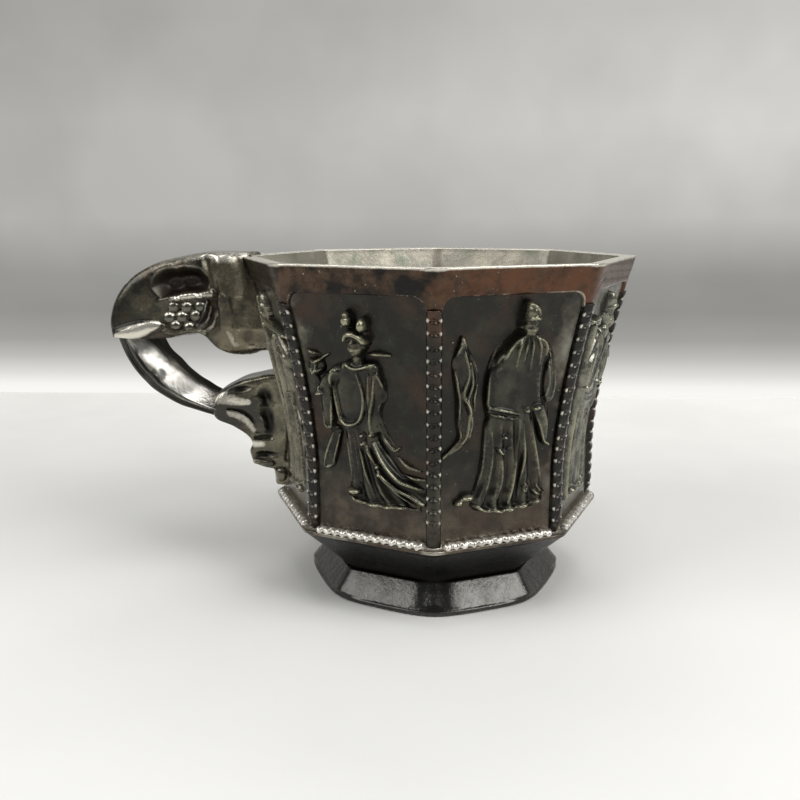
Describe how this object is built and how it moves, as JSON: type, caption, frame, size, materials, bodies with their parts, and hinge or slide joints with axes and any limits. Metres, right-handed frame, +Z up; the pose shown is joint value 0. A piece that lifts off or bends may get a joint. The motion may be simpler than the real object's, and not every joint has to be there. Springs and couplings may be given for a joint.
{
  "type": "wine cup",
  "caption": "Eight-sided cast brass wine cup on a hollow flared foot, with beaded corners, a rope moulding, relief figures in the panels and a curled branch handle.",
  "frame": {"origin": "on the plane that the foot stands on, under the middle of the whole outline with its handle; the cup's own axis stands 10.9 mm to +X of it", "axes": "+Z up, -X towards the handle, -Y towards the front corner between the two front panels"},
  "size_m": [0.0888, 0.067, 0.0557],
  "materials": {
    "dark_brass": "dark brown patina, semi-gloss",
    "worn_brass": "reddish-brown patina, worn",
    "rubbed_brass": "olive brass, rubbed bright on the high places"
  },
  "bodies": {
    "root": {"bowl": "dark_brass", "foot": "dark_brass", "rim_band": "worn_brass", "corner_strip_1": "worn_brass", "corner_strip_2": "worn_brass", "corner_strip_3": "worn_brass", "corner_strip_4": "worn_brass", "corner_strip_5": "worn_brass", "corner_strip_6": "worn_brass", "corner_strip_8": "worn_brass", "rope_strip_1": "rubbed_brass", "rope_strip_2": "rubbed_brass", "rope_strip_3": "rubbed_brass", "rope_strip_4": "rubbed_brass", "rope_strip_5": "rubbed_brass", "rope_strip_6": "rubbed_brass", "rope_strip_7": "rubbed_brass", "rope_strip_8": "rubbed_brass", "figure_with_whisk": "rubbed_brass", "figure_with_staff": "rubbed_brass", "figure_with_sword": "rubbed_brass", "figure_with_basket": "rubbed_brass", "figure_with_fan": "rubbed_brass", "figure_with_gourd": "rubbed_brass", "figure_with_flute": "rubbed_brass", "figure_with_lotus": "rubbed_brass", "handle_crown": "dark_brass", "handle_arm": "rubbed_brass", "handle_root": "dark_brass", "berries_front": "rubbed_brass", "berries_back": "rubbed_brass"}
  },
  "joints": []
}
